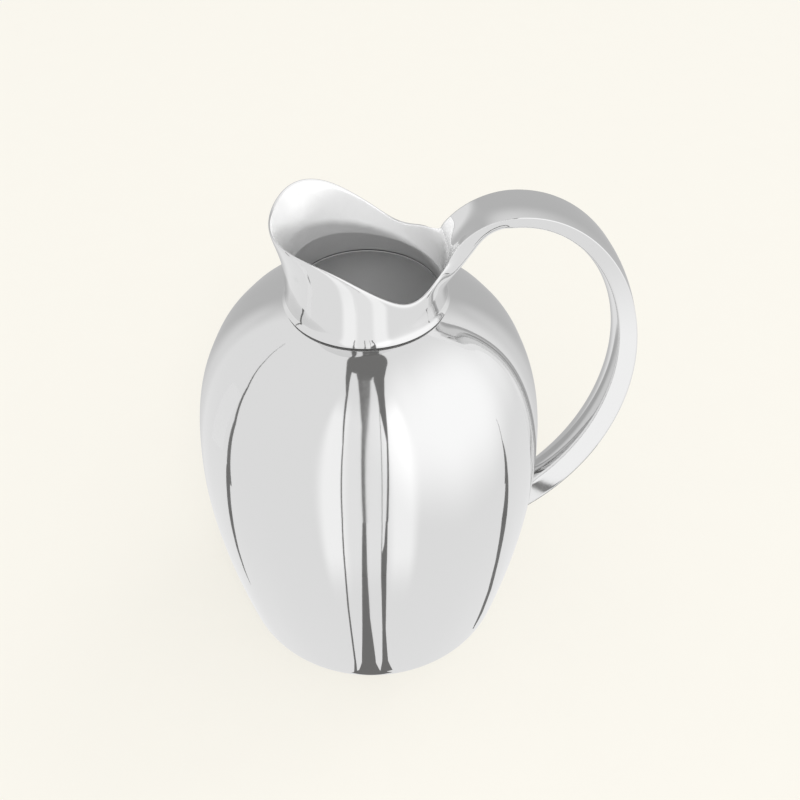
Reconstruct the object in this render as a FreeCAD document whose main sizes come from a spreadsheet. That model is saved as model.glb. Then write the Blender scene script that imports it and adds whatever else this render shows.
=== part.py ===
import FreeCAD, Part
import Sketcher
import math
import os

# Fluted metal water pitcher, in millimetres.
# +Z is up, the handle points to +X and the spout to -X. All but the flutes is mirrored about the XZ plane.
# The origin is the centre of the foot, on the surface that the pitcher stands on.

Vector = FreeCAD.Vector
doc = FreeCAD.newDocument("water_pitcher")
sheet = doc.addObject("Spreadsheet::Sheet", "dimensions")

DRIVING_DIMENSIONS = [
    # body meridian: two Bezier arcs that meet at the belly
    ("foot_radius", 56.0),
    ("foot_slope_deg", 76.7),
    ("foot_pull", 25.0),
    ("belly_radius", 67.0),
    ("belly_height", 82.0),
    ("belly_pull_down", 25.0),
    ("belly_pull_up", 41.3),
    ("shoulder_radius", 28.7),
    ("shoulder_height", 158.0),
    ("shoulder_slope_deg", 17.4),
    ("shoulder_pull", 28.2),
    # flutes
    ("flute_count", 18),
    ("flute_turn_deg", 6.5),
    ("flute_depth", 0.2),
    ("flute_softness", 0.6),
    ("flute_fade_radius", 10.0),
    ("flute_start_height", 4.0),
    ("flute_full_height", 20.0),
    # sheet metal
    ("body_sheet", 1.0),
    ("neck_sheet", 1.3),
    ("handle_sheet", 1.0),
    # foot plate
    ("plate_height", 2.2),
    ("plate_sheet", 1.0),
    ("plate_step_radius", 44.0),
    ("plate_dish_radius", 40.0),
    ("plate_dish_rise", 3.0),
    ("plate_blank_radius", 60.0),
    ("plate_solder_leg", 1.6),
    ("plate_solder_edge", 0.1),
    # neck
    ("neck_bore_radius", 27.4),
    ("neck_seat_gap", 0.6),
    ("neck_solder_radius", 28.3),
    ("neck_roll_radius", 29.5),
    ("neck_waist_radius", 28.8),
    ("neck_waist_height", 163.0),
    ("neck_top_height", 197.0),
    ("neck_widening", 1.0),
    ("spout_reach", 4.6),
    ("spout_start_height", 175.0),
    ("spout_full_height", 199.0),
    ("neck_pinch", 1.0),
    # handle: the path of its outer corner line
    ("arch_top_x", 52.0),
    ("arch_top_height", 194.1),
    ("arch_root_radius", 28.0),
    ("arch_root_x", 31.0),
    ("arch_tail", 12.0),
    ("grip_reach", 100.5),
    ("grip_height", 125.0),
    ("foot_arc_centre_x", 15.0),
    ("foot_arc_drop", 95.9),
    ("foot_arc_end_x", 58.0),
    # handle: its section
    ("handle_half_width", 8.7),
    ("handle_crown", 0.8),
    ("handle_inner_half_width", 6.8),
    ("handle_inner_half_width_low", 5.4),
    ("handle_inner_crown", 1.5),
    ("handle_depth_top", 5.2),
    ("handle_depth_low", 7.6),
    ("root_flare", 3.4),
    ("root_flare_length", 10.0),
    ("root_deepening", 2.6),
]
for row, (alias, number) in enumerate(DRIVING_DIMENSIONS, start=1):
    sheet.set(f"A{row}", alias)
    sheet.set(f"B{row}", str(number))
    sheet.setAlias(f"B{row}", alias)
doc.recompute()


def size(alias):
    """The value of a named dimension."""
    return float(sheet.get(alias))


def feature(name, shape):
    """A sub-part, or a tool for one, whose shape is worked out here."""
    made = doc.addObject("Part::Feature", name)
    made.Shape = shape
    made.Placement = FreeCAD.Placement()
    return made


def boolean(kind, name, base, tool):
    """A Part::Cut or Part::Common of two objects."""
    made = doc.addObject("Part::" + kind, name)
    made.Base = base
    made.Tool = tool
    return made


def fuse(name, *objects):
    made = doc.addObject("Part::MultiFuse", name)
    made.Shapes = list(objects)
    return made


def cylinder(name, radius, height, bottom):
    """An upright cylinder on the Z axis, bound to the sheet by expressions."""
    made = doc.addObject("Part::Cylinder", name)
    made.setExpression("Radius", radius)
    made.setExpression("Height", height)
    made.setExpression("Placement.Base.z", bottom)
    return made


def smoothstep(value):
    value = min(1.0, max(0.0, value))
    return value * value * (3.0 - 2.0 * value)


def closed_spline(points):
    curve = Part.BSplineCurve()
    curve.interpolate(Points=points, PeriodicFlag=True)
    return Part.Wire([curve.toShape()])


# ---------------------------------------------------------------- body

def bezier(poles, parameter):
    """Point and direction of a cubic Bezier arc in the (radius, height) plane."""
    a, b, c, d = poles
    t = parameter
    u = 1.0 - t
    point = [u**3 * a[i] + 3 * u * u * t * b[i] + 3 * u * t * t * c[i] + t**3 * d[i] for i in (0, 1)]
    slope = [3 * u * u * (b[i] - a[i]) + 6 * u * t * (c[i] - b[i]) + 3 * t * t * (d[i] - c[i])
             for i in (0, 1)]
    length = math.hypot(*slope)
    return point, (slope[0] / length, slope[1] / length)


def meridian_arcs():
    foot_slope = math.radians(size("foot_slope_deg"))
    shoulder_slope = math.radians(size("shoulder_slope_deg"))
    foot = (size("foot_radius"), 0.0)
    belly = (size("belly_radius"), size("belly_height"))
    shoulder = (size("shoulder_radius"), size("shoulder_height"))
    lower = (
        foot,
        (foot[0] + size("foot_pull") * math.cos(foot_slope), size("foot_pull") * math.sin(foot_slope)),
        (belly[0], belly[1] - size("belly_pull_down")),
        belly,
    )
    upper = (
        belly,
        (belly[0], belly[1] + size("belly_pull_up")),
        (shoulder[0] + size("shoulder_pull") * math.cos(shoulder_slope),
         shoulder[1] - size("shoulder_pull") * math.sin(shoulder_slope)),
        shoulder,
    )
    return lower, upper


LOWER_PARAMETERS = (0.0, 0.05, 0.12, 0.25, 0.4, 0.6, 0.8)
UPPER_SECTIONS = 10
POINTS_PER_FLUTE = 8


def flute_inset(angle, radius, height):
    """How far the fluted wall lies inside the round meridian: 0 on a crest, full depth in a valley.

    The flutes die out beside the neck and towards the foot.
    """
    soft = size("flute_softness")
    turned = angle - math.radians(size("flute_turn_deg"))
    wave = math.sqrt(math.sin(0.5 * size("flute_count") * turned) ** 2 + soft * soft)
    crest = (wave - soft) / (math.sqrt(1.0 + soft * soft) - soft)
    fade = smoothstep((radius - size("shoulder_radius")) / size("flute_fade_radius"))
    start, full = size("flute_start_height"), size("flute_full_height")
    fade *= smoothstep((height - start) / (full - start))
    return size("flute_depth") * fade * (1.0 - crest)


def fluted_wire(radius, height, meridian_point):
    count = int(size("flute_count")) * POINTS_PER_FLUTE
    points = []
    for step in range(count):
        angle = 2.0 * math.pi * step / count
        r = radius - flute_inset(angle, *meridian_point)
        points.append(Vector(r * math.cos(angle), r * math.sin(angle), height))
    return closed_spline(points)


def fluted_solid(offset, extend):
    """The solid inside the body's wall, offset outwards along the meridian's normal.

    extend adds one more section below the foot, so that the solid reaches through it.
    """
    lower, upper = meridian_arcs()
    stations = [(lower, parameter) for parameter in LOWER_PARAMETERS]
    stations += [(upper, i / UPPER_SECTIONS) for i in range(UPPER_SECTIONS + 1)]
    wires = []
    for arc, parameter in stations:
        (radius, height), (dr, dz) = bezier(arc, parameter)
        r = radius + offset * dz
        z = height - offset * dr
        if extend and parameter == 0.0 and arc is lower:
            wires.append(fluted_wire(r - extend * dr / dz, z - extend, (radius, height)))
        wires.append(fluted_wire(r, z, (radius, height)))
    return Part.makeLoft(wires, True, False)


BELOW_FOOT = 4.0

body_outside = feature("body_outside", fluted_solid(0.0, 0.0))
body_inside = feature("body_inside", fluted_solid(-size("body_sheet"), BELOW_FOOT))
neck_bore = cylinder("neck_bore", "dimensions.neck_bore_radius", "20", "dimensions.shoulder_height - 10")
body_wall = boolean("Cut", "body_wall", body_outside, body_inside)
body_shell = boolean("Cut", "body_shell", body_wall, neck_bore)

# ---------------------------------------------------------------- foot plate

# Section of the foot plate, from the axis out to past the wall: underside, then upper side.
# Each corner is (radius, height), as expressions of the sheet; radius 0 lies on the axis.
LOW = "dimensions.plate_height"
HIGH = "dimensions.plate_height + dimensions.plate_dish_rise"
SHEET = "dimensions.plate_sheet"
PLATE_OUTLINE = [
    ("0", HIGH),
    ("dimensions.plate_dish_radius", HIGH),
    ("dimensions.plate_step_radius", LOW),
    ("dimensions.plate_blank_radius", LOW),
    ("dimensions.plate_blank_radius", LOW + " + " + SHEET),
    ("dimensions.plate_step_radius + 0.4 * " + SHEET, LOW + " + " + SHEET),
    ("dimensions.plate_dish_radius + 0.4 * " + SHEET, HIGH + " + " + SHEET),
    ("0", HIGH + " + " + SHEET),
]


def value_of(expression):
    """The number that a sum of sheet cells and plain numbers comes to."""
    total = 0.0
    for term in expression.split(" + "):
        product = 1.0
        for factor in term.split(" * "):
            product *= size(factor.split(".")[1]) if factor.startswith("dimensions.") else float(factor)
        total += product
    return total


def bound_sketch(body, name, corners):
    """A closed polygon in the body's XZ plane, each corner held by two constraints bound to the sheet."""
    sketch = body.newObject("Sketcher::SketchObject", name)
    plane = next(f for f in body.Origin.OriginFeatures if f.Role == "XZ_Plane")
    sketch.AttachmentSupport = [(plane, "")]
    sketch.MapMode = "FlatFace"
    places = [Vector(value_of(x), value_of(z), 0) for x, z in corners]
    for index, place in enumerate(places):
        sketch.addGeometry(Part.LineSegment(place, places[(index + 1) % len(places)]), False)
    for index, (x, z) in enumerate(corners):
        following = (index + 1) % len(corners)
        sketch.addConstraint(Sketcher.Constraint("Coincident", index, 2, following, 1))
        if x == "0":
            sketch.addConstraint(Sketcher.Constraint("PointOnObject", index, 1, -2))
        else:
            across = sketch.addConstraint(Sketcher.Constraint("DistanceX", -1, 1, index, 1, places[index].x))
            sketch.setExpression("Constraints[%d]" % across, x)
        up = sketch.addConstraint(Sketcher.Constraint("DistanceY", -1, 1, index, 1, places[index].y))
        sketch.setExpression("Constraints[%d]" % up, z)
    return sketch


plate_body = doc.addObject("PartDesign::Body", "plate_blank")
plate_sketch = bound_sketch(plate_body, "plate_section", PLATE_OUTLINE)
plate_revolution = plate_body.newObject("PartDesign::Revolution", "plate_turned")
plate_revolution.Profile = plate_sketch
plate_revolution.ReferenceAxis = (plate_sketch, ["V_Axis"])
plate_revolution.Angle = 360.0
base_plate = boolean("Common", "base_plate", plate_body, body_inside)

# Solder fillet in the corner under the plate's edge, between two cones: outside it lies on the wall's
# inside, and its sloping inner face falls outwards from the plate to a thin edge on the wall.
WALL_INSIDE = ("dimensions.foot_radius - dimensions.body_sheet / sin(dimensions.foot_slope_deg * 1 deg)"
               " - 0.01 + (%s) / tan(dimensions.foot_slope_deg * 1 deg)")


def cone(name, low_radius, high_radius, height, bottom):
    """An upright frustum on the Z axis, bound to the sheet by expressions."""
    made = doc.addObject("Part::Cone", name)
    made.setExpression("Radius1", low_radius)
    made.setExpression("Radius2", high_radius)
    made.setExpression("Height", height)
    made.setExpression("Placement.Base.z", bottom)
    return made


FILLET_LOW = "dimensions.plate_height - dimensions.plate_solder_leg"
fillet_blank = cone("fillet_blank", WALL_INSIDE % FILLET_LOW, WALL_INSIDE % "dimensions.plate_height",
                    "dimensions.plate_solder_leg", FILLET_LOW)
fillet_hollow = cone("fillet_hollow", "fillet_blank.Radius1 - dimensions.plate_solder_edge * 1 mm",
                     "fillet_blank.Radius2 - dimensions.plate_solder_leg * 1 mm",
                     "dimensions.plate_solder_leg", FILLET_LOW)
base_solder_ring = boolean("Cut", "base_solder_ring", fillet_blank, fillet_hollow)

# ---------------------------------------------------------------- neck

NECK_POINTS = 48
NECK_LEVELS = (0.0, 0.05, 0.12, 0.25, 0.4, 0.52, 0.64, 0.76, 0.88, 1.0)


def neck_radius(angle, height):
    """Outer radius of the neck; angle 0 is the handle's side and pi the spout's side."""
    seat = size("shoulder_height") + size("neck_seat_gap")
    waist = size("neck_waist_height")
    top = size("neck_top_height")
    if height < waist:
        down = (waist - height) / (waist - seat)
        radius = size("neck_waist_radius") + (size("neck_roll_radius") - size("neck_waist_radius")) * down**2
    else:
        radius = size("neck_waist_radius") + size("neck_widening") * smoothstep((height - waist) / (top - waist))
    climb = smoothstep((height - size("spout_start_height"))
                       / (size("spout_full_height") - size("spout_start_height")))
    turn = abs(math.degrees(math.atan2(math.sin(angle), math.cos(angle))))
    toward_spout = smoothstep((turn - 80.0) / 65.0)
    at_side = smoothstep(1.0 - abs(turn - 85.0) / 50.0)
    return radius + size("spout_reach") * climb * toward_spout - size("neck_pinch") * at_side * climb


def neck_solid(offset, reach_past):
    seat = size("shoulder_height") + size("neck_seat_gap")
    top = size("neck_top_height")
    wires = []
    for level in NECK_LEVELS:
        height = seat + level * (top - seat)
        points = []
        for step in range(NECK_POINTS):
            angle = 2.0 * math.pi * step / NECK_POINTS
            r = neck_radius(angle, height) + offset
            points.append(Vector(r * math.cos(angle), r * math.sin(angle), height))
        if level == 0.0 and reach_past:
            wires.append(closed_spline([p - Vector(0, 0, reach_past) for p in points]))
        wires.append(closed_spline(points))
        if level == 1.0 and reach_past:
            wires.append(closed_spline([p + Vector(0, 0, reach_past) for p in points]))
    return Part.makeLoft(wires, True, False)


# side view of the rim: from the spout's tip over its high edge, down to the dip, up to the handle's root
RIM_LINE = [(-40.0, 187.5), (-33.0, 190.6), (-26.0, 192.6), (-13.3, 190.0), (1.0, 180.4), (15.0, 171.6),
            (27.0, 178.6), (34.0, 188.0)]


def above_rim():
    """Everything above the swept rim, as seen from the side, right across the neck."""
    points = [Vector(x, -60, z) for x, z in RIM_LINE]
    curve = Part.BSplineCurve()
    curve.interpolate(Points=points)
    ceiling = size("neck_top_height") + 10.0
    start, end = points[0], points[-1]
    corners = [end, Vector(end.x, -60, ceiling), Vector(start.x, -60, ceiling), start]
    edges = [curve.toShape()] + [Part.makeLine(a, b) for a, b in zip(corners, corners[1:])]
    return Part.Face(Part.Wire(edges)).extrude(Vector(0, 120, 0))


REACH_PAST = 3.0

neck_outside = feature("neck_outside", neck_solid(0.0, 0.0))
neck_inside = feature("neck_inside", neck_solid(-size("neck_sheet"), REACH_PAST))
rim_cutter = feature("rim_cutter", above_rim())
neck_tube = boolean("Cut", "neck_tube", neck_outside, neck_inside)
neck_spout = boolean("Cut", "neck_spout", neck_tube, rim_cutter)

solder_disc = cylinder("neck_solder_disc", "dimensions.neck_solder_radius", "dimensions.neck_seat_gap",
                       "dimensions.shoulder_height")
neck_solder_ring = boolean("Cut", "neck_solder_ring", solder_disc, neck_bore)

# ---------------------------------------------------------------- handle

HANDLE_STATIONS = 9     # per arc of the handle's path


def handle_path():
    """Stations of the outer corner line in side view: (x, z, direction, distance from the start)."""
    top_x, top_z = size("arch_top_x"), size("arch_top_height")
    reach, grip_z = size("grip_reach"), size("grip_height")
    root_r = size("arch_root_radius")
    first = math.asin((top_x - size("arch_root_x")) / root_r)
    points = []
    root = (top_x - root_r * math.sin(first), top_z - root_r + root_r * math.cos(first))
    for i in range(3):
        back = size("arch_tail") * (1.0 - i / 3.0)
        points.append((root[0] - back * math.cos(first), root[1] - back * math.sin(first)))
    for i in range(5):
        a = first * (1.0 - i / 5.0)
        points.append((top_x - root_r * math.sin(a), top_z - root_r + root_r * math.cos(a)))
    for i in range(HANDLE_STATIONS):
        a = 0.5 * math.pi * i / HANDLE_STATIONS
        points.append((top_x + (reach - top_x) * math.sin(a), grip_z + (top_z - grip_z) * math.cos(a)))
    centre_x, drop = size("foot_arc_centre_x"), size("foot_arc_drop")
    last = math.acos((size("foot_arc_end_x") - centre_x) / (reach - centre_x))
    for i in range(HANDLE_STATIONS + 1):
        a = last * i / HANDLE_STATIONS
        points.append((centre_x + (reach - centre_x) * math.cos(a), grip_z - drop * math.sin(a)))
    stations = []
    travelled = 0.0
    for i, (x, z) in enumerate(points):
        before = points[max(i - 1, 0)]
        after = points[min(i + 1, len(points) - 1)]
        dx, dz = after[0] - before[0], after[1] - before[1]
        length = math.hypot(dx, dz)
        if i:
            travelled += math.hypot(x - before[0], z - before[1])
        stations.append((x, z, dx / length, dz / length, travelled))
    return stations


PATH = handle_path()
PATH_LENGTH = PATH[-1][4]


def section_sizes(travelled):
    """Half width of the outer face, half width of the inner face, and depth, at one station."""
    fall = smoothstep(travelled / PATH_LENGTH)
    root = math.exp(-(travelled / size("root_flare_length")) ** 2)
    half = size("handle_half_width") + size("root_flare") * root
    inner = size("handle_inner_half_width") + (
        size("handle_inner_half_width_low") - size("handle_inner_half_width")) * fall
    inner += size("root_flare") * root
    depth = size("handle_depth_top") + (size("handle_depth_low") - size("handle_depth_top")) * fall
    return half, inner, depth + size("root_deepening") * root


def section_wire(station, corners, top_crown, bottom_crown):
    """Closed section of four edges: crowned top, straight side, crowned bottom, straight side.

    corners are (half width, depth) of the top and of the bottom corner; depth is counted from the
    outer corner line towards the hollow of the arch.
    """
    x, z, dx, dz, _ = station
    outward = Vector(-dz, 0, dx)
    origin = Vector(x, 0, z)

    def place(across, depth):
        return origin + Vector(0, across, 0) - outward * depth

    (top_half, top_depth), (low_half, low_depth) = corners
    top_left, top_right = place(-top_half, top_depth), place(top_half, top_depth)
    low_left, low_right = place(-low_half, low_depth), place(low_half, low_depth)
    return Part.Wire([
        Part.Arc(top_left, place(0, top_depth - top_crown), top_right).toShape(),
        Part.makeLine(top_right, low_right),
        Part.Arc(low_right, place(0, low_depth + bottom_crown), low_left).toShape(),
        Part.makeLine(low_left, top_left),
    ])


def handle_loft(make_section):
    return Part.makeLoft([make_section(station) for station in PATH], True, False)


def outer_section(station):
    half, inner, depth = section_sizes(station[4])
    return section_wire(station, ((half, 0.0), (inner, depth)), size("handle_crown"), size("handle_inner_crown"))


def hollow_section(station):
    """The space inside the liner, open upwards past the parting face."""
    half, inner, depth = section_sizes(station[4])
    wall = size("handle_sheet")
    lean = (half - inner) / depth
    corners = ((half - wall * 1.1 + lean * 0.2, -0.2), (inner - wall * 1.1 + lean * wall, depth - wall))
    return section_wire(station, corners, size("handle_crown"), size("handle_inner_crown"))


ABOVE = 6.0
SIDE_ROOM = 6.0


def cap_section(station):
    """All that lies above the parting face between the handle's outer sheet and its liner."""
    half, _, _ = section_sizes(station[4])
    wide = half + SIDE_ROOM
    crown = size("handle_crown") * (wide / half) ** 2
    skirt = size("handle_sheet") + crown - size("handle_crown")
    return section_wire(station, ((wide, -ABOVE), (wide, skirt)), crown, -crown)


handle_outside = feature("handle_outside", handle_loft(outer_section))
handle_hollow = feature("handle_hollow", handle_loft(hollow_section))
handle_cap = feature("handle_cap", handle_loft(cap_section))
vessel_outside = fuse("vessel_outside", body_outside, neck_outside)

handle_upper = boolean("Common", "handle_upper", handle_outside, handle_cap)
handle_shell = boolean("Cut", "handle_shell", handle_upper, vessel_outside)
handle_lower = boolean("Cut", "handle_lower", handle_outside, handle_cap)
handle_channel = boolean("Cut", "handle_channel", handle_lower, handle_hollow)
handle_liner = boolean("Cut", "handle_liner", handle_channel, vessel_outside)

# ---------------------------------------------------------------- write the sub-parts

NODES = [body_shell, base_plate, base_solder_ring, neck_spout, neck_solder_ring, handle_shell, handle_liner]

doc.recompute()
for made in doc.Objects:
    if "Invalid" in made.State or "Error" in made.State:
        raise RuntimeError(made.Name + " failed: " + str(made.State))
os.makedirs("parts", exist_ok=True)
for node in NODES:
    node.Label = node.Name
    shape = node.Shape
    if shape.isNull() or not shape.isValid():
        raise RuntimeError(node.Label + " has no valid shape")
    print(node.Label, "solids", len(shape.Solids), "faces", len(shape.Faces), "volume", round(shape.Volume, 1))
    shape.exportStep("parts/" + node.Label + ".step")
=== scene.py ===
import math

import bmesh
import bpy
import numpy as np
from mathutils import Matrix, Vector


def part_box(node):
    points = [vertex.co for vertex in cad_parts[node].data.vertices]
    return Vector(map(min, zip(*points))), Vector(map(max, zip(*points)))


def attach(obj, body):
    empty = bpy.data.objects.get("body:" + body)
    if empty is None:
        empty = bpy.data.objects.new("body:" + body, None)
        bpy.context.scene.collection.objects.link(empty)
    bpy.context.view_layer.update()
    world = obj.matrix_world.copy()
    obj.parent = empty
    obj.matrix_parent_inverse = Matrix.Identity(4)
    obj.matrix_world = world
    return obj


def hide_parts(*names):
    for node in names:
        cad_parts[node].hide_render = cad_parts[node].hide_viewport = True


# The looks of the fluted water pitcher, built round its CAD frame. Sizes are in metres; MM turns
# millimetres into metres. +X is the handle's side, -X the spout's side, and Y = 0 is the mirror plane.

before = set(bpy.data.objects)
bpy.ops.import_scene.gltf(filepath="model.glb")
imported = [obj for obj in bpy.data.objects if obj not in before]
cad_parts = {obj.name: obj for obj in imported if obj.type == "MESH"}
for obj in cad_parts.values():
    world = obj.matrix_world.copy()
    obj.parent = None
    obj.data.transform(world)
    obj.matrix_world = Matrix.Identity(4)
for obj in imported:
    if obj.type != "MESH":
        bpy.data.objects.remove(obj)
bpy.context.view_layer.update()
MM = 0.001
BODY = "root"

# ---------------------------------------------------------------- camera

SHOULDER_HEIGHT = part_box("body_shell")[1].z
CAMERA_ELEVATION = math.radians(43.59)
CAMERA_TURN = math.radians(-4.6)        # the handle points a little away from the camera
CAMERA_DISTANCE = 2.8 * SHOULDER_HEIGHT
CAMERA_RIGHT = 0.0769 * SHOULDER_HEIGHT
CAMERA_UP = 0.1260 * SHOULDER_HEIGHT
CAMERA_LENS = 48.92


def make_camera():
    data = bpy.data.cameras.new("camera")
    data.lens = CAMERA_LENS
    data.sensor_width = 36.0
    data.clip_start = 0.01
    camera = bpy.data.objects.new("camera", data)
    bpy.context.scene.collection.objects.link(camera)
    camera.rotation_euler = (math.pi / 2 - CAMERA_ELEVATION, 0, CAMERA_TURN)
    turn = camera.rotation_euler.to_matrix()
    right, up, back = (turn.col[i] for i in range(3))
    target = Vector((0, 0, SHOULDER_HEIGHT / 2))
    camera.location = target + back * CAMERA_DISTANCE + right * CAMERA_RIGHT + up * CAMERA_UP
    bpy.context.scene.camera = camera


make_camera()

# ---------------------------------------------------------------- mesh helpers


def smoothstep(value):
    value = np.clip(value, 0.0, 1.0)
    return value * value * (3.0 - 2.0 * value)


def make_object(name, verts, faces, material):
    mesh = bpy.data.meshes.new(name)
    mesh.from_pydata([tuple(v) for v in verts], [], [tuple(f) for f in faces])
    mesh.validate()
    mesh.shade_smooth()
    mesh.materials.append(material)
    obj = bpy.data.objects.new(name, mesh)
    bpy.context.scene.collection.objects.link(obj)
    return obj


def grid_faces(rows, columns, closed):
    """Quads between the rows of a grid of points; closed joins the last column to the first."""
    faces = []
    for r in range(rows - 1):
        for c in range(columns if closed else columns - 1):
            n = (c + 1) % columns
            faces.append((r * columns + c, r * columns + n, (r + 1) * columns + n, (r + 1) * columns + c))
    return faces


# ---------------------------------------------------------------- materials


def new_material(name):
    material = bpy.data.materials.new(name)
    material.use_nodes = True
    nodes = material.node_tree.nodes
    return material, nodes, material.node_tree.links, nodes["Principled BSDF"]


def polished_steel(name, colour, roughness, swirl):
    """Mirror-polished sheet: a faint waviness of the sheet, and fine polishing marks in the gloss."""
    material, nodes, links, shader = new_material(name)
    shader.inputs["Base Color"].default_value = (*colour, 1)
    shader.inputs["Metallic"].default_value = 1.0
    place = nodes.new("ShaderNodeTexCoord")
    wave = nodes.new("ShaderNodeTexNoise")
    wave.inputs["Scale"].default_value = 45.0
    wave.inputs["Detail"].default_value = 1.0
    links.new(place.outputs["Object"], wave.inputs["Vector"])
    fine = nodes.new("ShaderNodeTexNoise")
    fine.inputs["Scale"].default_value = 900.0
    fine.inputs["Detail"].default_value = 4.0
    links.new(place.outputs["Object"], fine.inputs["Vector"])
    gloss = nodes.new("ShaderNodeMapRange")
    gloss.inputs["To Min"].default_value = roughness * 0.7
    gloss.inputs["To Max"].default_value = roughness * 1.3
    links.new(fine.outputs["Fac"], gloss.inputs["Value"])
    links.new(gloss.outputs["Result"], shader.inputs["Roughness"])
    bump = nodes.new("ShaderNodeBump")
    bump.inputs["Strength"].default_value = swirl
    bump.inputs["Distance"].default_value = 0.0002
    links.new(wave.outputs["Fac"], bump.inputs["Height"])
    links.new(bump.outputs["Normal"], shader.inputs["Normal"])
    return material


def satin_steel(name, colour, mirror, roughness):
    """Steel blasted to an even satin, which scatters much of the light: a fine grain and faint patches."""
    material, nodes, links, shader = new_material(name)
    shader.inputs["Base Color"].default_value = (*colour, 1)
    shader.inputs["Metallic"].default_value = mirror
    place = nodes.new("ShaderNodeTexCoord")
    grain = nodes.new("ShaderNodeTexNoise")
    grain.inputs["Scale"].default_value = 2200.0
    grain.inputs["Detail"].default_value = 3.0
    links.new(place.outputs["Object"], grain.inputs["Vector"])
    patches = nodes.new("ShaderNodeTexNoise")
    patches.inputs["Scale"].default_value = 60.0
    links.new(place.outputs["Object"], patches.inputs["Vector"])
    gloss = nodes.new("ShaderNodeMapRange")
    gloss.inputs["To Min"].default_value = roughness * 0.85
    gloss.inputs["To Max"].default_value = roughness * 1.15
    links.new(patches.outputs["Fac"], gloss.inputs["Value"])
    links.new(gloss.outputs["Result"], shader.inputs["Roughness"])
    bump = nodes.new("ShaderNodeBump")
    bump.inputs["Strength"].default_value = 0.12
    bump.inputs["Distance"].default_value = 0.0001
    links.new(grain.outputs["Fac"], bump.inputs["Height"])
    links.new(bump.outputs["Normal"], shader.inputs["Normal"])
    return material


def turned_steel(name, colour):
    """Satin steel turned on a lathe: fine rings round the Z axis."""
    material, nodes, links, shader = new_material(name)
    shader.inputs["Metallic"].default_value = 1.0
    shader.inputs["Base Color"].default_value = (*colour, 1)
    place = nodes.new("ShaderNodeTexCoord")
    rings = nodes.new("ShaderNodeTexWave")
    rings.wave_type = "RINGS"
    rings.rings_direction = "Z"
    rings.inputs["Scale"].default_value = 700.0
    rings.inputs["Distortion"].default_value = 0.4
    links.new(place.outputs["Object"], rings.inputs["Vector"])
    gloss = nodes.new("ShaderNodeMapRange")
    gloss.inputs["To Min"].default_value = 0.28
    gloss.inputs["To Max"].default_value = 0.42
    links.new(rings.outputs["Fac"], gloss.inputs["Value"])
    links.new(gloss.outputs["Result"], shader.inputs["Roughness"])
    bump = nodes.new("ShaderNodeBump")
    bump.inputs["Strength"].default_value = 0.15
    bump.inputs["Distance"].default_value = 0.0001
    links.new(rings.outputs["Fac"], bump.inputs["Height"])
    links.new(bump.outputs["Normal"], shader.inputs["Normal"])
    return material


def dull_solder(name):
    material, nodes, links, shader = new_material(name)
    shader.inputs["Metallic"].default_value = 1.0
    place = nodes.new("ShaderNodeTexCoord")
    patches = nodes.new("ShaderNodeTexNoise")
    patches.inputs["Scale"].default_value = 220.0
    patches.inputs["Detail"].default_value = 5.0
    links.new(place.outputs["Object"], patches.inputs["Vector"])
    tone = nodes.new("ShaderNodeValToRGB")
    tone.color_ramp.elements[0].color = (0.16, 0.16, 0.165, 1)
    tone.color_ramp.elements[1].color = (0.34, 0.34, 0.34, 1)
    links.new(patches.outputs["Fac"], tone.inputs["Fac"])
    links.new(tone.outputs["Color"], shader.inputs["Base Color"])
    gloss = nodes.new("ShaderNodeMapRange")
    gloss.inputs["To Min"].default_value = 0.30
    gloss.inputs["To Max"].default_value = 0.55
    links.new(patches.outputs["Fac"], gloss.inputs["Value"])
    links.new(gloss.outputs["Result"], shader.inputs["Roughness"])
    return material


STEEL = (0.80, 0.80, 0.80)
body_steel = polished_steel("body_steel", STEEL, 0.05, 0.10)
neck_steel = polished_steel("neck_steel", STEEL, 0.05, 0.06)
inside_steel = satin_steel("inside_steel", (0.86, 0.86, 0.86), 0.50, 0.19)
deep_steel = satin_steel("deep_steel", (0.94, 0.94, 0.94), 0.10, 0.35)
# painted shade: this dark satin stands for the shade deep in the bore; it darkens the lip the neck stands on
# and the lowest band of the neck's inside
bore_steel_painted_shade = satin_steel("bore_steel_painted_shade", (0.37, 0.37, 0.37), 0.20, 0.30)
base_steel = turned_steel("base_steel", (0.55, 0.55, 0.55))
solder = dull_solder("solder")

# ---------------------------------------------------------------- body

FOOT_RADIUS = 56.0
FOOT_SLOPE = math.radians(76.7)
FOOT_PULL = 25.0
BELLY_RADIUS = 67.0
BELLY_HEIGHT = 82.0
BELLY_PULL_DOWN = 25.0
BELLY_PULL_UP = 41.3
SHOULDER_RADIUS = 28.7
SHOULDER_SLOPE = math.radians(17.4)
SHOULDER_PULL = 28.2
SHOULDER = SHOULDER_HEIGHT / MM
BODY_SHEET = 1.0
NECK_BORE = 27.4
FLUTES = 18
FLUTE_TURN = math.radians(6.5)
FLUTE_DEPTH = 0.2
FLUTE_SOFTNESS = 0.6
FLUTE_FADE_RADIUS = 10.0
FLUTE_START_HEIGHT = 4.0
FLUTE_FULL_HEIGHT = 20.0
AROUND_PER_FLUTE = 36
UP_THE_BODY = 120
LIP_EDGE = 0.35         # bevel of the lip that the neck stands on
HEM_STEPS = 9
INSIDE_CAD = 0.03       # the whole wall stands this much inside the CAD wall


def bezier(poles, t):
    """Points and unit tangents of a cubic Bezier arc."""
    a, b, c, d = (np.array(p) for p in poles)
    t = t[:, None]
    u = 1 - t
    points = u**3 * a + 3 * u * u * t * b + 3 * u * t * t * c + t**3 * d
    slopes = 3 * u * u * (b - a) + 6 * u * t * (c - b) + 3 * t * t * (d - c)
    return points, slopes / np.linalg.norm(slopes, axis=1)[:, None]


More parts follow.
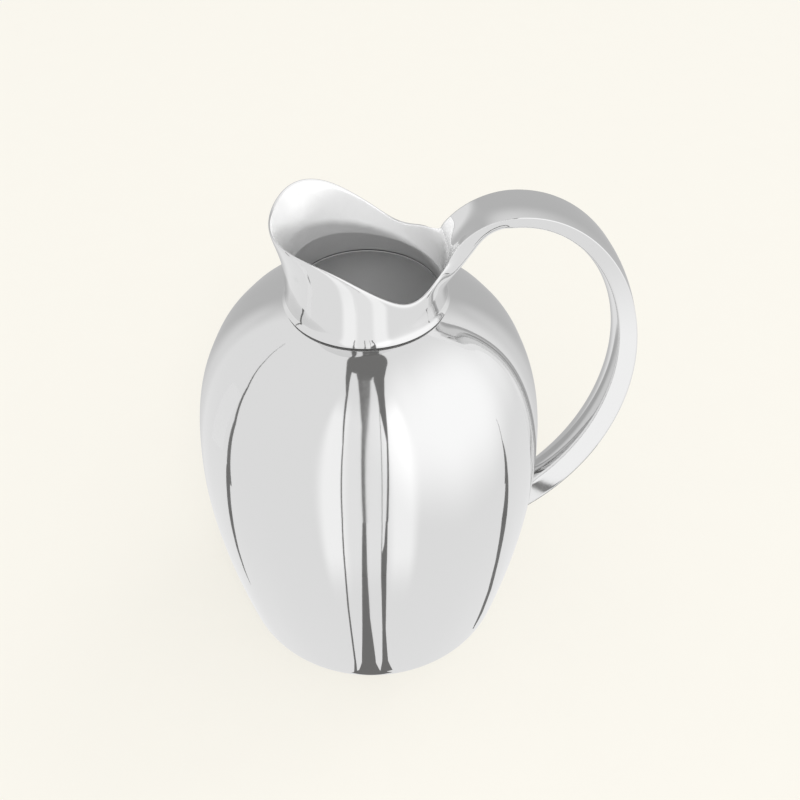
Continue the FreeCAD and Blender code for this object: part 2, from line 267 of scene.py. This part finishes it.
def body_meridian():
    """(radius, height) and unit tangent from the foot to the shoulder."""
    foot = (FOOT_RADIUS, 0)
    belly = (BELLY_RADIUS, BELLY_HEIGHT)
    shoulder = (SHOULDER_RADIUS, SHOULDER)
    lower = (foot, (foot[0] + FOOT_PULL * math.cos(FOOT_SLOPE), FOOT_PULL * math.sin(FOOT_SLOPE)),
             (belly[0], belly[1] - BELLY_PULL_DOWN), belly)
    upper = (belly, (belly[0], belly[1] + BELLY_PULL_UP),
             (shoulder[0] + SHOULDER_PULL * math.cos(SHOULDER_SLOPE),
              shoulder[1] - SHOULDER_PULL * math.sin(SHOULDER_SLOPE)), shoulder)
    low_points, low_slopes = bezier(lower, np.linspace(0, 1, UP_THE_BODY // 2))
    up_points, up_slopes = bezier(upper, np.linspace(0, 1, UP_THE_BODY))
    return np.vstack([low_points[:-1], up_points]), np.vstack([low_slopes[:-1], up_slopes])


def flute_inset(angle, radius, height):
    """How far the wall lies inside its round meridian; the flutes die out beside the neck and at the foot."""
    wave = np.sqrt(np.sin(0.5 * FLUTES * (angle - FLUTE_TURN)) ** 2 + FLUTE_SOFTNESS**2)
    crest = (wave - FLUTE_SOFTNESS) / (math.sqrt(1 + FLUTE_SOFTNESS**2) - FLUTE_SOFTNESS)
    fade = smoothstep((radius - SHOULDER_RADIUS) / FLUTE_FADE_RADIUS)
    fade *= smoothstep((height - FLUTE_START_HEIGHT) / (FLUTE_FULL_HEIGHT - FLUTE_START_HEIGHT))
    return FLUTE_DEPTH * fade * (1 - crest)


def make_body():
    """The fluted shell: up the outside, in over the shoulder to the neck's bore, and down the inside."""
    points, slopes = body_meridian()
    inside = points - BODY_SHEET * np.stack([slopes[:, 1], -slopes[:, 0]], 1)
    hem_radius = 0.5 * BODY_SHEET
    going_in = (inside[:, 0] > NECK_BORE) & (inside[:, 1] > hem_radius)
    going_up = points[:, 1] > hem_radius
    ceiling = inside[going_in][-1, 1]
    lip = [(NECK_BORE + LIP_EDGE, SHOULDER), (NECK_BORE, SHOULDER - LIP_EDGE),
           (NECK_BORE, ceiling + LIP_EDGE), (NECK_BORE + LIP_EDGE, ceiling)]
    hem = [(FOOT_RADIUS - hem_radius * (1 - math.cos(a)), hem_radius * (1 - math.sin(a)))
           for a in np.linspace(math.pi, 0, HEM_STEPS)]
    # each row, and the point of the meridian whose flutes it takes
    rows = np.vstack([hem, points[going_up], lip, inside[going_in][::-1]])
    source = np.vstack([hem, points[going_up], [(SHOULDER_RADIUS, SHOULDER)] * len(lip),
                        points[going_in][::-1]])
    count = FLUTES * AROUND_PER_FLUTE
    angle = np.linspace(0, 2 * math.pi, count, endpoint=False)
    radius = rows[:, :1] - flute_inset(angle[None, :], source[:, :1], source[:, 1:])
    radius = radius - INSIDE_CAD
    grid = np.stack([radius * np.cos(angle), radius * np.sin(angle), np.repeat(rows[:, 1:], count, 1)], -1)
    faces = grid_faces(len(rows), count, True)
    last = (len(rows) - 1) * count
    faces += [(last + c, last + (c + 1) % count, (c + 1) % count, c) for c in range(count)]
    body = make_object("body", grid.reshape(-1, 3) * MM, faces, body_steel)
    body.data.materials.append(deep_steel)
    body.data.materials.append(bore_steel_painted_shade)
    first_lip = (len(hem) + sum(going_up) - 1) * count
    first_inside = first_lip + len(lip) * count
    # the lip's faces get the painted shade of the dark bore steel; the inside's faces get the deep steel
    for face in body.data.polygons:
        if first_lip <= face.index < last:
            face.material_index = 2 if face.index < first_inside else 1
    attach(body, BODY)
    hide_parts("body_shell")
    return body


body = make_body()

# ---------------------------------------------------------------- neck and handle

NECK_SHEET = 1.3
NECK_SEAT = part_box("neck_spout")[0].z / MM
NECK_ROLL = 30.3
NECK_WAIST = 28.8
NECK_WAIST_HEIGHT = 163.0
NECK_TOP = 197.0
NECK_WIDENING = 1.0
SPOUT_REACH = 4.6
SPOUT_START = 175.0
SPOUT_FULL = 199.0
NECK_PINCH = 1.0

# side view of the rim, (x, z), from the spout to the handle's root
RIM_LINE = [(-33.0, 190.6), (-26.0, 192.6), (-13.3, 190.0), (1.0, 180.4), (15.0, 171.6), (27.0, 178.6)]


def neck_radius(angle, height, foot_radius):
    seat, waist = NECK_SEAT, NECK_WAIST_HEIGHT
    if height < waist:
        radius = NECK_WAIST + (foot_radius - NECK_WAIST) * ((waist - height) / (waist - seat)) ** 4
    else:
        radius = NECK_WAIST + NECK_WIDENING * smoothstep((height - waist) / (NECK_TOP - waist))
    climb = smoothstep((height - SPOUT_START) / (SPOUT_FULL - SPOUT_START))
    turn = abs(math.degrees(math.atan2(math.sin(angle), math.cos(angle))))
    toward_spout = smoothstep((turn - 80) / 65)
    at_side = smoothstep(1 - abs(turn - 85) / 50)
    return radius + SPOUT_REACH * climb * toward_spout - NECK_PINCH * at_side * climb


def rim_height(x):
    """Height of the rim at x, by a smooth curve through the rim line's points."""
    xs, zs = (np.array(v) for v in zip(*RIM_LINE))
    slopes = np.gradient(zs, xs)
    k = int(np.clip(np.searchsorted(xs, x) - 1, 0, len(xs) - 2))
    width = xs[k + 1] - xs[k]
    t = (x - xs[k]) / width
    return ((1 + 2 * t) * (1 - t) ** 2 * zs[k] + t * (1 - t) ** 2 * width * slopes[k]
            + t * t * (3 - 2 * t) * zs[k + 1] + t * t * (t - 1) * width * slopes[k + 1])


# the handle's outer corner line in side view: a round root, an elliptic arch, an elliptic foot
ARCH_TOP = (52.0, 194.1)
ARCH_ROOT_RADIUS = 28.0
GRIP_REACH = 100.5
GRIP_HEIGHT = 125.0
FOOT_ARC_CENTRE = 15.0
FOOT_ARC_DROP = 95.9
HANDLE_HALF = 8.7
HANDLE_CROWN = 0.8
INNER_HALF = 6.8
INNER_HALF_LOW = 5.4
INNER_CROWN = 1.5
DEPTH_TOP = 5.2
DEPTH_LOW = 7.6
# beside its root the handle is wider and deeper, and its outer face is dished; both fade along it
ROOT_FADE = 7.0
ROOT_OUTER_WIDENING = 0.7
ROOT_INNER_WIDENING = 1.0
ROOT_DEEPENING = 2.4
ROOT_DISH = 3.4
ROOT_DISH_FADE = 8.0
# creases of the subdivided cage: 0 is round and 1 is sharp
CREASE_RIM_INSIDE = 0.25
CREASE_RIM_OUTSIDE = 0.1
CREASE_HANDLE_OUTER = 0.62
CREASE_HANDLE_INNER = 0.5
CREASE_FOOT = 0.5


def handle_stations():
    """(x, z) of the outer corner line, with its unit normal, from the root to the foot."""
    top_x, top_z = ARCH_TOP
    stations = []
    for x in (31.0, 35.5, 40.5, 46.0):
        a = math.asin((top_x - x) / ARCH_ROOT_RADIUS)
        stations.append((x, top_z - ARCH_ROOT_RADIUS * (1 - math.cos(a)), -math.sin(a), math.cos(a)))
    for i in range(10):
        a = 0.5 * math.pi * i / 10
        a_x, a_z = GRIP_REACH - top_x, top_z - GRIP_HEIGHT
        n = Vector((math.sin(a) / a_x, math.cos(a) / a_z)).normalized()
        stations.append((top_x + a_x * math.sin(a), GRIP_HEIGHT + a_z * math.cos(a), n.x, n.y))
    a_x, a_z = GRIP_REACH - FOOT_ARC_CENTRE, FOOT_ARC_DROP
    last = math.acos((60.0 - FOOT_ARC_CENTRE) / a_x)
    for i in range(11):
        a = last * i / 10
        n = Vector((math.cos(a) / a_x, -math.sin(a) / a_z)).normalized()
        stations.append((FOOT_ARC_CENTRE + a_x * math.cos(a), GRIP_HEIGHT - a_z * math.sin(a), n.x, n.y))
    return stations


STATIONS = handle_stations()
# angles of the neck's columns; the first three lead into the handle
HANDLE_COLUMNS = (0.0, 9.0, 20.0)
RIM_COLUMNS = (34.0, 49.0, 64.0, 80.0, 96.0, 112.0, 128.0, 144.0, 162.0, 180.0)
NECK_LOW_ROWS = (0.0, 0.4, 1.1, 2.2, 5.2)     # heights over the seat; the painted shade on the inside ends at the last
NECK_HIGH_ROWS = (0.35, 0.7, 1.0)             # shares of the way from there to the rim
PAINTED_SHADE_EDGE_TILT = 4.5                          # how much higher the painted shade's edge is under the spout


def neck_point(angle_deg, height, inset):
    angle = math.radians(angle_deg)
    r = neck_radius(angle, height, NECK_WAIST if inset else NECK_ROLL) - inset
    return (r * math.cos(angle), r * math.sin(angle), height)


def rim_top(angle_deg, inset):
    """Height at which the neck's wall meets the rim, found by stepping towards it."""
    angle = math.radians(angle_deg)
    top = NECK_SEAT + 15.0
    for _ in range(30):
        r = neck_radius(angle, top, NECK_WAIST) - inset
        top += 0.5 * (rim_height(min(r * math.cos(angle), 27.0)) - top)
    return top


def row_heights(angle_deg, top):
    edge = NECK_SEAT + NECK_LOW_ROWS[-1] + PAINTED_SHADE_EDGE_TILT * smoothstep((abs(angle_deg) - 40) / 100)
    low = [NECK_SEAT + h for h in NECK_LOW_ROWS[:-1]]
    return low + [edge + share * (top - edge) for share in (0.0, *NECK_HIGH_ROWS)]


def make_cage():
    """Control cage of the neck and the handle, one closed skin.

    Each column runs up the neck. The columns beside the mirror plane run on along the handle. The
    inner layer is the neck's inside and the handle's outer face; the outer layer is the neck's outside
    and the handle's inner face. A strip along the rim and the handle's sides joins the two layers.
    """
    mesh = bmesh.new()
    crease = mesh.edges.layers.float.new("crease_edge")
    columns = list(HANDLE_COLUMNS) + list(RIM_COLUMNS)
    ring = [-c for c in columns[-2:0:-1]] + columns        # from just past the spout, round to the spout
    count = len(ring)
    handle = [k for k, c in enumerate(ring) if abs(c) <= HANDLE_COLUMNS[-1]]
    middle = len(handle) // 2

    root_in = [(28.4, 176.2), (28.2, 176.6), (27.4, 178.8)]        # (x, z) at the root, by column
    root_out = [(31.0, 168.8), (30.8, 168.8), (29.6, 169.8)]
    root_half = (0.0, 5.6, 11.2)
    root_out_half = (0.0, 4.6, 9.4)

    def layer(inset, root, half):
        grid = []
        for c in ring:
            if abs(c) <= HANDLE_COLUMNS[-1]:
                k = HANDLE_COLUMNS.index(abs(c))
                x, z = root[k]
                heights = row_heights(c, 0.85 * z + 0.15 * (NECK_SEAT + NECK_LOW_ROWS[-1]))
                column = [neck_point(c, h, inset) for h in heights[:-1]]
                column.append((x, math.copysign(half[k], c), z))
            else:
                column = [neck_point(c, h, inset) for h in row_heights(c, rim_top(c, inset))]
            grid.append([mesh.verts.new(Vector(point) * MM) for point in column])
        return [list(row) for row in zip(*grid)]

    inner = layer(NECK_SHEET, root_in, root_half)
    outer = layer(0.0, root_out, root_out_half)
    total = sum(math.dist(a[:2], b[:2]) for a, b in zip(STATIONS, STATIONS[1:]))
    travelled = 0.0
    inner_rows, outer_rows = [], []
    for s, (x, z, nx, nz) in enumerate(STATIONS):
        if s:
            travelled += math.dist(STATIONS[s][:2], STATIONS[s - 1][:2])
        fall = smoothstep(travelled / total)
        near = math.exp(-(travelled / ROOT_FADE) ** 2)
        half = HANDLE_HALF + ROOT_OUTER_WIDENING * near
        inner_half = INNER_HALF + (INNER_HALF_LOW - INNER_HALF) * fall + ROOT_INNER_WIDENING * near
        depth = DEPTH_TOP + (DEPTH_LOW - DEPTH_TOP) * fall + ROOT_DEEPENING * near
        crown = HANDLE_CROWN - ROOT_DISH * math.exp(-(travelled / ROOT_DISH_FADE) ** 2)
        rows = []
        for is_outer in (False, True):
            row = []
            for k, column in enumerate(handle):
                share = (k - middle) / middle
                bow = 1 - share * share
                if is_outer:
                    across, down = share * inner_half, depth + INNER_CROWN * bow
                else:
                    across, down = share * half, -crown * bow
                row.append(mesh.verts.new(Vector((x - nx * down, across, z - nz * down)) * MM))
            rows.append(row)
        inner_rows.append(rows[0])
        outer_rows.append(rows[1])

    def quad(a, b, c, d):
        return mesh.faces.new((a, b, c, d))

    for rows, flip in ((inner, True), (outer, False)):
        for r in range(len(rows) - 1):
            for k in range(count):
                n = (k + 1) % count
                corners = (rows[r][k], rows[r][n], rows[r + 1][n], rows[r + 1][k])
                face = quad(*(corners[::-1] if flip else corners))
                # the lowest rows of the neck's inside take the painted shade of the bore steel, the rest the
                # inside steel
                if flip:
                    face.material_index = 2 if r < len(NECK_LOW_ROWS) - 1 else 1
    for rows, first, flip in ((inner_rows, inner[-1], True), (outer_rows, outer[-1], False)):
        chain = [[first[k] for k in handle]] + rows
        for r in range(len(chain) - 1):
            for k in range(len(handle) - 1):
                corners = (chain[r][k], chain[r][k + 1], chain[r + 1][k + 1], chain[r + 1][k])
                quad(*(corners[::-1] if flip else corners))
    # the lip: a strip from the inner layer's open boundary to the outer layer's
    in_edge = [inner[-1][k % count] for k in range(handle[-1], handle[0] + count + 1)]
    out_edge = [outer[-1][k % count] for k in range(handle[-1], handle[0] + count + 1)]
    left_in = [row[0] for row in inner_rows]
    left_out = [row[0] for row in outer_rows]
    right_in = [row[-1] for row in inner_rows]
    right_out = [row[-1] for row in outer_rows]
    in_edge = right_in[::-1] + in_edge + left_in
    out_edge = right_out[::-1] + out_edge + left_out
    for a, b, c, d in zip(out_edge, out_edge[1:], in_edge[1:], in_edge):
        quad(a, b, c, d)
    # the foot of the neck, in the painted shade of the bore steel, and the handle's lower end, which runs on
    # through the body's wall
    for k in range(count):
        n = (k + 1) % count
        quad(inner[0][k], inner[0][n], outer[0][n], outer[0][k]).material_index = 2
    for k in range(len(handle) - 1):
        quad(inner_rows[-1][k], outer_rows[-1][k], outer_rows[-1][k + 1], inner_rows[-1][k + 1])

    def sharpen(a, b, amount):
        edge = mesh.edges.get((a, b))
        edge[crease] = amount

    last = len(in_edge) - 1
    for i in range(last):
        along = min(i, last - 1 - i)
        on_handle = along < len(STATIONS)
        past_root = along < len(STATIONS) - 4
        sharpen(in_edge[i], in_edge[i + 1], CREASE_HANDLE_OUTER if on_handle else CREASE_RIM_INSIDE)
        sharpen(out_edge[i], out_edge[i + 1], CREASE_HANDLE_INNER if past_root else CREASE_RIM_OUTSIDE)
    for rows in (inner, outer):
        for k in range(count):
            sharpen(rows[0][k], rows[0][(k + 1) % count], CREASE_FOOT)
    bmesh.ops.recalc_face_normals(mesh, faces=mesh.faces)
    data = bpy.data.meshes.new("neck_and_handle")
    mesh.to_mesh(data)
    mesh.free()
    data.shade_smooth()
    obj = bpy.data.objects.new("neck_and_handle", data)
    bpy.context.scene.collection.objects.link(obj)
    return obj


def make_neck_and_handle():
    obj = make_cage()
    obj.data.materials.append(neck_steel)
    obj.data.materials.append(inside_steel)
    # third slot: the dark bore steel, which is painted shade
    obj.data.materials.append(bore_steel_painted_shade)
    smooth = obj.modifiers.new("smooth", "SUBSURF")
    smooth.levels = smooth.render_levels = 4
    smooth.use_limit_surface = False
    depsgraph = bpy.context.evaluated_depsgraph_get()
    final = bpy.data.meshes.new_from_object(obj.evaluated_get(depsgraph))
    obj.modifiers.clear()
    obj.data = final
    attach(obj, BODY)
    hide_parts("neck_spout", "handle_shell", "handle_liner")
    return obj


neck_and_handle = make_neck_and_handle()

# ---------------------------------------------------------------- CAD pieces that stay as they are

KEPT_PIECES = {"base_plate": base_steel, "base_solder_ring": solder, "neck_solder_ring": solder}
for node, material in KEPT_PIECES.items():
    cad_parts[node].data.materials.clear()
    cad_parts[node].data.materials.append(material)

# ---------------------------------------------------------------- studio

FLOOR_HALF = 6.0
# brightness of the tent and of the gaps in it
TENT_LIGHT = 0.875
FRONT_GLOW = 0.20
SOFTBOX_GLOW = 0.30
SOFTBOX_AZIMUTH = math.radians(62)
SOFTBOX_ELEVATION = math.radians(20)
BACK_SHADE = -0.33
GAP_GLOW = 0.16
TENT_TOP_OPENING = 80.0         # elevation of its edge, in degrees
# lamps: power in watts
KEY_LIGHT = 24.0
FILL_LIGHT = 40.0
DEEP_LIGHT = 3.4
SPOUT_LIGHT = 320.0
LAMP_DISTANCE = 3.0
SPOUT_LIGHT_AZIMUTH = math.radians(-6)
SPOUT_LIGHT_HEIGHT = 0.19
SPOUT_LIGHT_HALF_ANGLE = math.radians(10)
SPOUT_LIGHT_EDGE = 0.1708       # height at which the light's lower edge crosses the body's axis
SPOUT_LIGHT_SLANT = math.radians(16)    # by which that edge falls to the right


def make_floor():
    material, nodes, links, shader = new_material("floor_paper")
    shader.inputs["Roughness"].default_value = 0.9
    shader.inputs["Specular IOR Level"].default_value = 0.1
    shader.inputs["Emission Color"].default_value = (0.550, 0.536, 0.490, 1)
    shader.inputs["Emission Strength"].default_value = 1.0
    place = nodes.new("ShaderNodeTexCoord")
    grain = nodes.new("ShaderNodeTexNoise")
    grain.inputs["Scale"].default_value = 60.0
    links.new(place.outputs["Object"], grain.inputs["Vector"])
    tone = nodes.new("ShaderNodeValToRGB")
    tone.color_ramp.elements[0].color = (0.350, 0.340, 0.316, 1)
    tone.color_ramp.elements[1].color = (0.358, 0.348, 0.323, 1)
    links.new(grain.outputs["Fac"], tone.inputs["Fac"])
    links.new(tone.outputs["Color"], shader.inputs["Base Color"])
    corners = [(x * FLOOR_HALF, y * FLOOR_HALF, 0) for x, y in ((-1, -1), (1, -1), (1, 1), (-1, 1))]
    floor = make_object("floor", corners, [(0, 1, 2, 3)], material)
    floor.visible_glossy = False
    return floor


# The light tent and the floor paper have narrow dark gaps, which the steel mirrors as dark lines. Each is
# a strip through a few rows of (where along it, its middle, its width). Directions are azimuth and
# elevation in degrees, azimuth 0 towards the camera and positive to its right; places are millimetres
# to the right of the origin, towards the camera and up. They are placed for the main camera: seen from
# elsewhere, the lines fall elsewhere on the steel.
RIGHT = Vector((math.cos(CAMERA_TURN), math.sin(CAMERA_TURN), 0))
TOWARD = Vector((math.sin(CAMERA_TURN), -math.cos(CAMERA_TURN), 0))
TENT_RADIUS = 20.0
CARD_DISTANCE = 129.0

# in the tent: elevation, azimuth, width
TENT_GAPS = {
    "gap_left_of_middle": [(-30, -14, 1.1), (18, -14.2, 1.2), (47, -17.6, 2.7), (60, -21, 4), (73, -35, 14),
                           (80, -70, 60)],
    "gap_middle": [(-30, -0.9, 1), (33, -0.5, 1.1), (60, -1.7, 3), (74, -5, 7), (80, -7, 26)],
    "gap_right_of_middle": [(-30, 8.8, 1.6), (20, 11.8, 1.4), (47, 11.2, 7.5), (60, 12.5, 11), (74, 17.5, 29),
                            (80, 41, 78)],
    "gap_hairline": [(-30, 5.4, 0.4), (47, 7.4, 0.5)],
    "gap_left_side": [(-38, -98.9, 5.8), (-32, -97.5, 5), (-12, -93, 2.9), (10, -95.3, 1.8),
                      (30, -104.3, 0.8), (46, -118, 0.5)],
    "gap_right_side": [(-38, 97.6, 4.6), (-33, 96, 3.4), (-21, 92.2, 0.6), (-9, 90.7, 0.2)],
}
# on the floor in front: towards the camera, right, width
FRONT_SEAMS = {
    "seam_left_of_middle": [(56.5, -6.7, 1.4), (62, -7.8, 1), (95, -17, 1.7), (129, -24.9, 2.2)],
    "seam_middle": [(56, 0.5, 18), (58, -0.7, 9.4), (62, -1, 6.6), (88, -2.2, 4.8), (129, -2.9, 4.6)],
    "seam_right_of_middle": [(57, 6.8, 5.6), (62, 6.8, 3), (80, 8.2, 2.4), (129, 13.4, 6.4)],
}
# on the floor at the sides: right, towards the camera, width
SIDE_SEAMS = {
    "seam_left": [(-71, 26.6, 0.4), (-80, 22.6, 2.3), (-96, 18.8, 4.8), (-129, 17, 9.5)],
    "seam_right": [(46, 35, 0.6), (54, 30.3, 3.4), (66, 26, 5), (87, 24, 6.4), (129, 23.4, 13.3)],
}
# low cards where the seams end, in front: height, right, width
FRONT_CARDS = {
    "card_left_of_middle": [(0, -24.9, 2.2), (72, -24, 1.7)],
    "card_middle": [(0, -2.9, 4.6), (72, -1.3, 2.6)],
    "card_right_of_middle": [(0, 13.4, 6.4), (30, 14, 6.7), (45, 15.8, 3.6), (72, 17.2, 2.4)],
    "card_hairline": [(31, 11, 0.7), (72, 12.2, 0.7)],
}
# and at the sides: height, towards the camera, width
SIDE_CARDS = {
    "card_left": (-1, [(0, 17, 9.5), (28, 23.9, 9.4), (60, 29.5, 9.4)]),
    "card_right": (1, [(0, 23.4, 13.3), (30, 27.7, 8.6), (58, 31.5, 5)]),
}
# a white card hides the left card from the neck: its place to the right, and its rows as at the sides
WHITE_CARD_RIGHT = -80.0
WHITE_CARD = [(98, 23.5, 11), (140, 23.5, 11)]


def glowing(name, colour, strength):
    material, nodes, links, shader = new_material(name)
    shader.inputs["Base Color"].default_value = (0, 0, 0, 1)
    shader.inputs["Emission Color"].default_value = (*colour, 1)
    shader.inputs["Emission Strength"].default_value = strength
    return material


def make_gaps():
    material = glowing("gap_shade", (1, 0.99, 0.97), GAP_GLOW)

    def strip(name, place, rows, shade=material):
        """A strip through rows of (along, middle, width); place turns (along, across) into a point."""
        verts = [place(along, middle + side * width / 2) for along, middle, width in rows for side in (-1, 1)]
        faces = [(2 * i, 2 * i + 1, 2 * i + 3, 2 * i + 2) for i in range(len(rows) - 1)]
        show_only_in_steel(make_object(name, verts, faces, shade))

    def show_only_in_steel(obj):
        obj.visible_camera = False
        obj.visible_diffuse = False
        obj.visible_shadow = False

    def in_tent(elevation, azimuth):
        azimuth, elevation = math.radians(azimuth), math.radians(elevation)
        level = RIGHT * math.sin(azimuth) + TOWARD * math.cos(azimuth)
        return (level * math.cos(elevation) + Vector((0, 0, math.sin(elevation)))) * TENT_RADIUS

    def spot(right, toward, up):
        return (RIGHT * right + TOWARD * toward + Vector((0, 0, up))) * MM

    for name, rows in TENT_GAPS.items():
        strip(name, in_tent, rows)
    for name, rows in FRONT_SEAMS.items():
        strip(name, lambda out, right: spot(right, out, 0), rows)
    for name, rows in SIDE_SEAMS.items():
        strip(name, lambda right, out: spot(right, out, 0), rows)
    for name, rows in FRONT_CARDS.items():
        strip(name, lambda up, right: spot(right, CARD_DISTANCE, up), rows)
    for name, (side, rows) in SIDE_CARDS.items():
        strip(name, lambda up, out, side=side: spot(side * CARD_DISTANCE, out, up), rows)
    white = glowing("white_card", (1, 1, 1), TENT_LIGHT)
    strip("white_card", lambda up, out: spot(WHITE_CARD_RIGHT, out, up), WHITE_CARD, white)
    # the open top of the tent
    count = 32
    rim = [in_tent(TENT_TOP_OPENING, 360 * i / count) for i in range(count)]
    show_only_in_steel(make_object("tent_opening", rim, [tuple(range(count))], material))


def make_world():
    """A white light tent: brighter towards the camera and at a large softbox on the right, darker behind."""
    world = bpy.data.worlds.new("tent")
    bpy.context.scene.world = world
    world.use_nodes = True
    nodes, links = world.node_tree.nodes, world.node_tree.links
    nodes.clear()
    place = nodes.new("ShaderNodeTexCoord")

    def along(axis):
        """Cosine of the angle between the direction looked in and an axis."""
        dot = nodes.new("ShaderNodeVectorMath")
        dot.operation = "DOT_PRODUCT"
        links.new(place.outputs["Generated"], dot.inputs[0])
        dot.inputs[1].default_value = axis
        return dot.outputs["Value"]

    def math_node(operation, a, b):
        node = nodes.new("ShaderNodeMath")
        node.operation = operation
        links.new(a, node.inputs[0])
        if isinstance(b, float):
            node.inputs[1].default_value = b
        else:
            links.new(b, node.inputs[1])
        return node.outputs[0]

    def ramp(value, start, end, low, high):
        node = nodes.new("ShaderNodeMapRange")
        node.interpolation_type = "SMOOTHSTEP"
        for name, number in zip(("From Min", "From Max", "To Min", "To Max"), (start, end, low, high)):
            node.inputs[name].default_value = number
        links.new(value, node.inputs["Value"])
        return node.outputs["Result"]

    height = along((0, 0, 1))
    heading = math_node("ARCTAN2", along(RIGHT), along(TOWARD))
    off_front = math_node("MAXIMUM", heading, math_node("MULTIPLY", heading, -1.0))
    glow = ramp(off_front, math.radians(36), math.radians(27), 0.0, FRONT_GLOW)
    glow = math_node("MULTIPLY", glow, ramp(off_front, math.radians(8), math.radians(16), 0.3, 1.0))
    glow = math_node("MULTIPLY", glow, ramp(height, 0.9, 0.6, 0.0, 1.0))
    glow = math_node("MULTIPLY", glow, ramp(height, -0.9, -0.7, 0.0, 1.0))
    softbox = RIGHT * math.sin(SOFTBOX_AZIMUTH) + TOWARD * math.cos(SOFTBOX_AZIMUTH)
    softbox *= math.cos(SOFTBOX_ELEVATION)
    softbox.z = math.sin(SOFTBOX_ELEVATION)
    side = ramp(along(softbox), 0.45, 0.98, 0.0, SOFTBOX_GLOW)
    back = ramp(along(-TOWARD), 0.55, 0.8, 0.0, BACK_SHADE)
    total = math_node("ADD", math_node("ADD", glow, side), back)
    total = math_node("ADD", total, TENT_LIGHT)
    background = nodes.new("ShaderNodeBackground")
    background.inputs["Color"].default_value = (1, 1, 1, 1)
    links.new(total, background.inputs["Strength"])
    output = nodes.new("ShaderNodeOutputWorld")
    links.new(background.outputs[0], output.inputs[0])


def add_lamp(data, place, target):
    """A lamp that looks at the target and isn't mirrored itself."""
    lamp = bpy.data.objects.new(data.name, data)
    bpy.context.scene.collection.objects.link(lamp)
    lamp.location = place
    lamp.rotation_euler = (Vector(target) - Vector(place)).to_track_quat("-Z", "Y").to_euler()
    lamp.visible_glossy = False
    return lamp


def make_disk_lamp(name, place, size, power, target):
    data = bpy.data.lights.new(name, "AREA")
    data.shape = "DISK"
    data.size = size
    data.energy = power
    return add_lamp(data, place, target)


def light_only(lamp, piece, floor):
    """The lamp reaches this piece alone, and only the floor could stand in its way."""
    lit = bpy.data.collections.new(lamp.name + "_lights")
    lit.objects.link(piece)
    lamp.light_linking.receiver_collection = lit
    blockers = bpy.data.collections.new(lamp.name + "_blockers")
    blockers.objects.link(floor)
    lamp.light_linking.blocker_collection = blockers


def make_spout_light():
    """A spot from the front onto the satin inside of the spout, cut off along a slanting edge."""
    data = bpy.data.lights.new("spout_light", "SPOT")
    data.energy = SPOUT_LIGHT
    data.spot_size = 2 * SPOUT_LIGHT_HALF_ANGLE
    data.spot_blend = 0.0
    data.shadow_soft_size = 0.0016
    way = RIGHT * math.sin(SPOUT_LIGHT_AZIMUTH) + TOWARD * math.cos(SPOUT_LIGHT_AZIMUTH)
    place = Vector((0, 0, SPOUT_LIGHT_HEIGHT)) + LAMP_DISTANCE * way
    reach = LAMP_DISTANCE * math.tan(SPOUT_LIGHT_HALF_ANGLE)
    across_edge = math.sin(SPOUT_LIGHT_SLANT) * RIGHT + math.cos(SPOUT_LIGHT_SLANT) * Vector((0, 0, 1))
    return add_lamp(data, place, Vector((0, 0, SPOUT_LIGHT_EDGE)) + reach * across_edge)


def make_deep_light():
    """A weak lamp for the body's inside."""
    place = TOWARD * LAMP_DISTANCE + Vector((0, 0, 0.5))
    return make_disk_lamp("deep_light", place, 0.5, DEEP_LIGHT, (0, 0, 0.1))


floor = make_floor()
make_world()
make_gaps()
make_disk_lamp("key_light", (2.8, 2.0, 3.6), 2.4, KEY_LIGHT, (0, 0, 0.08))
make_disk_lamp("fill_light", (0.1, -2.5, 2.5), 1.6, FILL_LIGHT, (0, 0, 0.16))
light_only(make_spout_light(), neck_and_handle, floor)
light_only(make_deep_light(), body, floor)
bpy.context.scene.view_settings.view_transform = "Standard"
